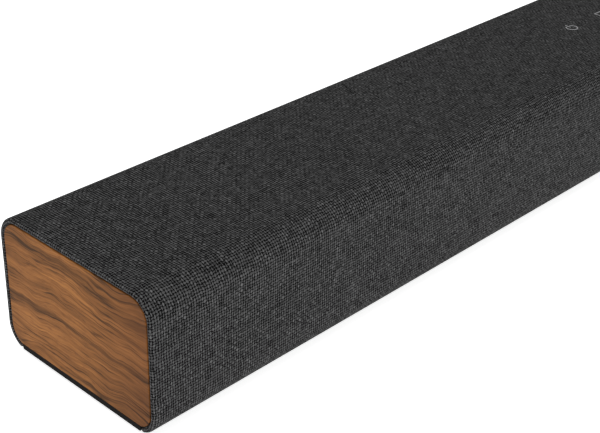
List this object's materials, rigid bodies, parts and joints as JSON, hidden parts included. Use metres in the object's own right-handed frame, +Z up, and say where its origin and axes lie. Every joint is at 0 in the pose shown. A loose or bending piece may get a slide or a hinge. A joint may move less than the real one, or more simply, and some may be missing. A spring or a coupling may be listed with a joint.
{
  "type": "soundbar speaker",
  "caption": "Long, low soundbar wrapped in charcoal woven cloth, with walnut end panels, touch keys under the cloth on top, a rear socket recess and rear wall keyholes.",
  "frame": {"origin": "under the middle of the bar, on the surface its feet stand on", "axes": "X along the bar with its left end (as seen from the front) at -X, the front grille faces -Y, +Z up"},
  "size_m": [0.89, 0.085, 0.0585],
  "materials": {
    "cloth": "heathered plain-weave polyester cloth",
    "black_plastic": "moulded ABS, fine matt texture",
    "grey_plastic": "moulded ABS",
    "foam": "closed-cell foam strip",
    "walnut": "oiled walnut, open grain",
    "foot_rubber": "soft black rubber",
    "socket_plastic": "glass-filled nylon",
    "socket_shell": "nickel-plated steel shell",
    "plate_steel": "black powder-coated steel",
    "screw_steel": "black zinc plate",
    "circuit_board": "glass-epoxy laminate, green solder mask",
    "components": "moulded electronic components",
    "heat_sink_metal": "extruded aluminium",
    "shield": "tin-plated shield",
    "guide_acrylic": "clear acrylic light guide",
    "receiver_plastic": "infrared-passing dark plastic",
    "key_plastic": "moulded ABS",
    "basket_steel": "pressed steel, black paint",
    "magnet": "ferrite and zinc-plated steel",
    "paper": "coated paper pulp",
    "coil_former": "copper winding on its former",
    "spider_cloth": "resin-treated cotton",
    "surround_rubber": "butyl rubber",
    "silk": "coated silk",
    "lead_insulation": "flexible insulated lead"
  },
  "bodies": {
    "case": {"fabric_wrap": "cloth", "grille_shell": "black_plastic", "bottom_cover": "black_plastic", "rubber_feet": "foot_rubber", "left_end_panel": "walnut", "right_end_panel": "walnut", "left_end_frame": "grey_plastic", "right_end_frame": "grey_plastic", "cabinet": "black_plastic", "front_baffle": "black_plastic", "baffle_gasket": "foam", "socket_tray": "socket_plastic", "wall_plates": "plate_steel", "key_frame": "grey_plastic", "key_board": "circuit_board", "key_switches": "components", "display_board": "circuit_board", "light_guide": "guide_acrylic", "remote_receiver": "receiver_plastic", "main_board": "circuit_board", "heat_sink": "heat_sink_metal", "board_components": "components", "wireless_module": "shield", "audio_video_socket": "socket_shell", "service_socket": "socket_shell", "optical_socket": "socket_plastic", "power_socket": "socket_plastic", "case_screws": "screw_steel", "bottom_screws": "screw_steel", "small_screws": "screw_steel", "left_woofer_frame": "basket_steel", "left_woofer_motor": "magnet", "left_woofer_spider": "spider_cloth", "left_woofer_surround": "surround_rubber", "left_tweeter_frame": "black_plastic", "left_tweeter_motor": "magnet", "left_port_tube": "black_plastic", "left_speaker_lead": "lead_insulation", "right_woofer_frame": "basket_steel", "right_woofer_motor": "magnet", "right_woofer_spider": "spider_cloth", "right_woofer_surround": "surround_rubber", "right_tweeter_frame": "black_plastic", "right_tweeter_motor": "magnet", "right_port_tube": "black_plastic", "right_speaker_lead": "lead_insulation"},
    "power_key": {"power_button": "key_plastic"},
    "input_key": {"input_button": "key_plastic"},
    "volume_down_key": {"volume_down_button": "key_plastic"},
    "volume_up_key": {"volume_up_button": "key_plastic"},
    "pairing_key": {"pairing_button": "key_plastic"},
    "mute_key": {"mute_button": "key_plastic"},
    "left_woofer_cone_assembly": {"left_woofer_cone": "paper", "left_woofer_dust_cap": "paper", "left_woofer_voice_coil": "coil_former"},
    "left_tweeter_diaphragm": {"left_tweeter_dome": "silk"},
    "right_woofer_cone_assembly": {"right_woofer_cone": "paper", "right_woofer_dust_cap": "paper", "right_woofer_voice_coil": "coil_former"},
    "right_tweeter_diaphragm": {"right_tweeter_dome": "silk"}
  },
  "joints": [
    {"name": "power_key_press", "type": "slide", "parent": "case", "child": "power_key", "axis": [0, 0, 1], "range_m": [-0.0004, 0], "stiffness_N_per_m": 1500},
    {"name": "input_key_press", "type": "slide", "parent": "case", "child": "input_key", "axis": [0, 0, 1], "range_m": [-0.0004, 0], "stiffness_N_per_m": 1500},
    {"name": "volume_down_key_press", "type": "slide", "parent": "case", "child": "volume_down_key", "axis": [0, 0, 1], "range_m": [-0.0004, 0], "stiffness_N_per_m": 1500},
    {"name": "volume_up_key_press", "type": "slide", "parent": "case", "child": "volume_up_key", "axis": [0, 0, 1], "range_m": [-0.0004, 0], "stiffness_N_per_m": 1500},
    {"name": "pairing_key_press", "type": "slide", "parent": "case", "child": "pairing_key", "axis": [0, 0, 1], "range_m": [-0.0004, 0], "stiffness_N_per_m": 1500},
    {"name": "mute_key_press", "type": "slide", "parent": "case", "child": "mute_key", "axis": [0, 0, 1], "range_m": [-0.0004, 0], "stiffness_N_per_m": 1500},
    {"name": "left_woofer_excursion", "type": "slide", "parent": "case", "child": "left_woofer_cone_assembly", "axis": [0, -1, 0], "range_m": [-0.0025, 0.0025], "stiffness_N_per_m": 900, "deforming": ["left_woofer_surround", "left_woofer_spider"]},
    {"name": "left_tweeter_excursion", "type": "slide", "parent": "case", "child": "left_tweeter_diaphragm", "axis": [0, -1, 0], "range_m": [-0.0003, 0.0003], "stiffness_N_per_m": 1500},
    {"name": "right_woofer_excursion", "type": "slide", "parent": "case", "child": "right_woofer_cone_assembly", "axis": [0, -1, 0], "range_m": [-0.0025, 0.0025], "stiffness_N_per_m": 900, "deforming": ["right_woofer_surround", "right_woofer_spider"]},
    {"name": "right_tweeter_excursion", "type": "slide", "parent": "case", "child": "right_tweeter_diaphragm", "axis": [0, -1, 0], "range_m": [-0.0003, 0.0003], "stiffness_N_per_m": 1500}
  ]
}
